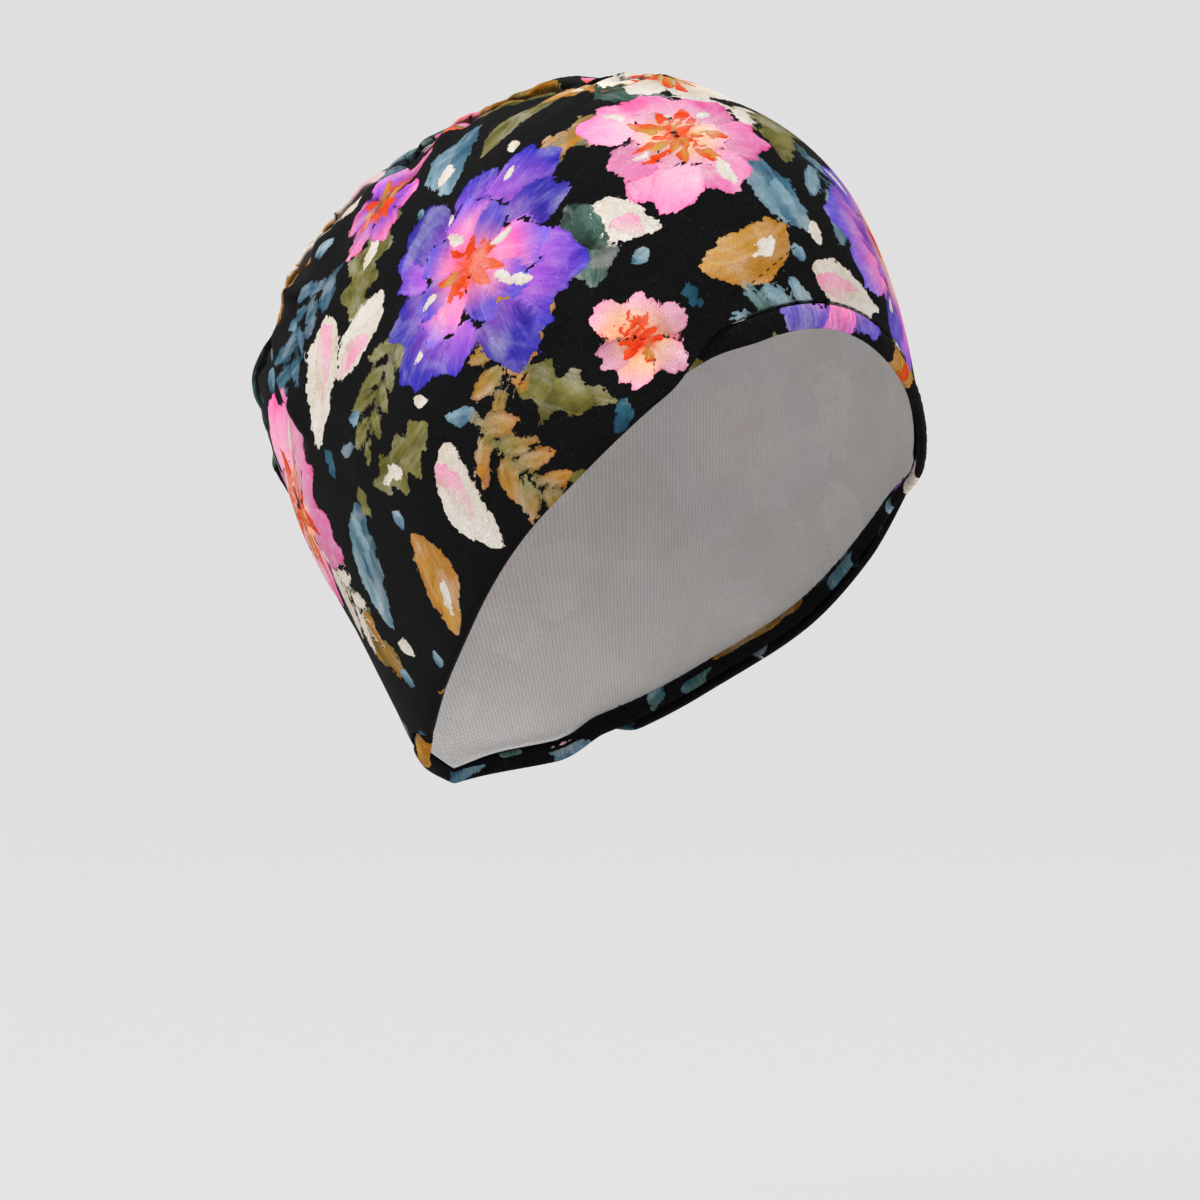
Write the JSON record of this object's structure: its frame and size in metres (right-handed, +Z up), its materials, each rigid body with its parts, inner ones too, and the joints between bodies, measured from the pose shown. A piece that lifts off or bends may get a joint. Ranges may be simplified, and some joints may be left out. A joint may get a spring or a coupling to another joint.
{
  "type": "comfort cap",
  "caption": "Soft stretch-jersey comfort cap in its worn form, with a gathered seam from crown to nape and a folded hem round the opening.",
  "frame": {"origin": "the point where the top of the wearer's head meets the inside of the crown", "axes": "the wearer faces -Y, the wearer's left is +X, +Z is up"},
  "size_m": [0.163, 0.2234, 0.2053],
  "materials": {
    "printed_jersey": "matte brushed stretch jersey with a dark ground and a many-coloured painted floral print",
    "hem_jersey": "the same jersey folded double and stitched, softly puckered",
    "sewing_thread": "fine dark polyester thread"
  },
  "bodies": {
    "root": {"crown": "printed_jersey", "edge_band": "hem_jersey"}
  },
  "joints": []
}
